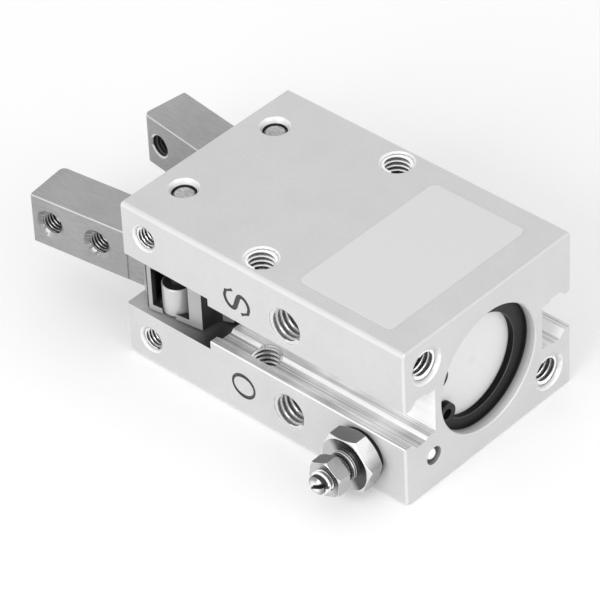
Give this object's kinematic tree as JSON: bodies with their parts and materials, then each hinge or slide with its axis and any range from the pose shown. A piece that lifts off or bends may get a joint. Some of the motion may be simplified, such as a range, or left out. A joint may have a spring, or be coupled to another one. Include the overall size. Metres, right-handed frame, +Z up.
{
  "type": "pneumatic angular gripper",
  "caption": "Small pneumatic gripper: rectangular aluminium body with side grooves, piston-driven pivoting fingers at one end and a retained cap at the other.",
  "frame": {"origin": "centre of the round recess in the rear face of the housing, in the plane of that face", "axes": "+X out of the rear face along the cylinder axis, so the fingers point to -X; +Z up, square to the face that carries the label; the ports are on the -Y side"},
  "size_m": [0.0644, 0.039, 0.0235],
  "materials": {
    "aluminium": "clear hard anodised, fine matt",
    "resin": "moulded white resin",
    "rubber": "black nitrile rubber",
    "ring_steel": "blackened spring steel",
    "ball_steel": "ground ball, bright",
    "label": "white printed film, left bare",
    "pin_steel": "ground steel",
    "finger_steel": "ground stainless steel, brushed along the finger",
    "magnet": "bonded ferrite ring",
    "bronze": "sintered bronze",
    "nickel": "bright nickel plate on brass"
  },
  "bodies": {
    "housing": {"body_housing": "aluminium", "end_cap": "resin", "cap_oring": "rubber", "retaining_ring": "ring_steel", "ball_plug": "ball_steel", "type_label": "label", "left_pivot_pin": "pin_steel", "right_pivot_pin": "pin_steel", "rod_bush": "bronze", "rod_seal": "rubber", "head_bumper": "rubber", "cap_bumper": "rubber", "needle_gland": "nickel", "gland_gasket": "rubber", "lock_nut": "nickel"},
    "piston": {"piston": "aluminium", "piston_seal": "rubber", "magnet_ring": "magnet", "wear_ring": "resin", "rod_nut": "pin_steel", "piston_rod": "pin_steel", "pusher_head": "finger_steel", "left_drive_pin": "pin_steel", "right_drive_pin": "pin_steel"},
    "left_finger": {"left_finger": "finger_steel", "left_roller_pin": "pin_steel"},
    "right_finger": {"right_finger": "finger_steel", "right_roller_pin": "pin_steel"},
    "left_roller": {"left_side_roller": "pin_steel"},
    "right_roller": {"right_side_roller": "pin_steel"},
    "needle": {"adjusting_needle": "nickel"}
  },
  "joints": [
    {"name": "piston_slide", "type": "slide", "parent": "housing", "child": "piston", "axis": [-1, 0, 0], "range_m": [-0.0012, 0.00075]},
    {"name": "left_finger_pivot", "type": "hinge", "parent": "housing", "child": "left_finger", "pos_m": [-0.0418, -0.0082, 0], "axis": [0, 0, 1], "range_deg": [-12.3, 7.7]},
    {"name": "right_finger_pivot", "type": "hinge", "parent": "housing", "child": "right_finger", "pos_m": [-0.0418, 0.0082, 0], "axis": [0, 0, -1], "range_deg": [-12.3, 7.7]},
    {"name": "left_roller_spin", "type": "hinge", "parent": "left_finger", "child": "left_roller", "pos_m": [-0.04002, -0.01215, 0], "axis": [0, 0, 1], "continuous": true},
    {"name": "right_roller_spin", "type": "hinge", "parent": "right_finger", "child": "right_roller", "pos_m": [-0.04002, 0.01215, 0], "axis": [0, 0, 1], "continuous": true},
    {"name": "needle_turn", "type": "hinge", "parent": "housing", "child": "needle", "pos_m": [-0.007, -0.0153, -0.0067], "axis": [0, -1, 0], "range_deg": [-180, 180]}
  ],
  "couplings": [
    {"joint": "left_finger_pivot", "follows": "piston_slide", "rad_per_m": 178.57},
    {"joint": "right_finger_pivot", "follows": "piston_slide", "rad_per_m": 178.57}
  ]
}
